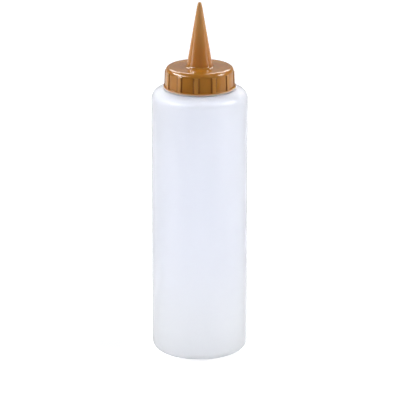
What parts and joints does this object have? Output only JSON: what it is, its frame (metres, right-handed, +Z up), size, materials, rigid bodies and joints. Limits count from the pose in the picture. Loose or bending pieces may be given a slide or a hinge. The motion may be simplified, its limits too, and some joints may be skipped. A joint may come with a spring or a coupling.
{
  "type": "glue applicator bottle",
  "caption": "Soft round squeeze bottle for glue with a ribbed screw cap that ends in a long cone nozzle, sealed by a liner.",
  "frame": {"origin": "centre of the foot ring that the bottle stands on", "axes": "+Z up along the bottle's axis, towards the nozzle's tip"},
  "size_m": [0.055, 0.055, 0.2067],
  "materials": {
    "bottle_plastic": "satin",
    "cap_plastic": "gloss",
    "liner_foam": "matte"
  },
  "bodies": {
    "bottle": {"squeeze_bottle": "bottle_plastic"},
    "liner": {"sealing_liner": "liner_foam"},
    "cap": {"nozzle_cap": "cap_plastic"}
  },
  "joints": [
    {"name": "cap_rise", "type": "slide", "parent": "bottle", "child": "liner", "axis": [0, 0, 1], "range_m": [0, 0.0127]},
    {"name": "cap_turn", "type": "hinge", "parent": "liner", "child": "cap", "pos_m": [0, 0, 0.162], "axis": [0, 0, 1], "range_deg": [0, 1080]}
  ],
  "couplings": [
    {"joint": "cap_rise", "follows": "cap_turn", "m_per_rad": 0.0006737}
  ]
}
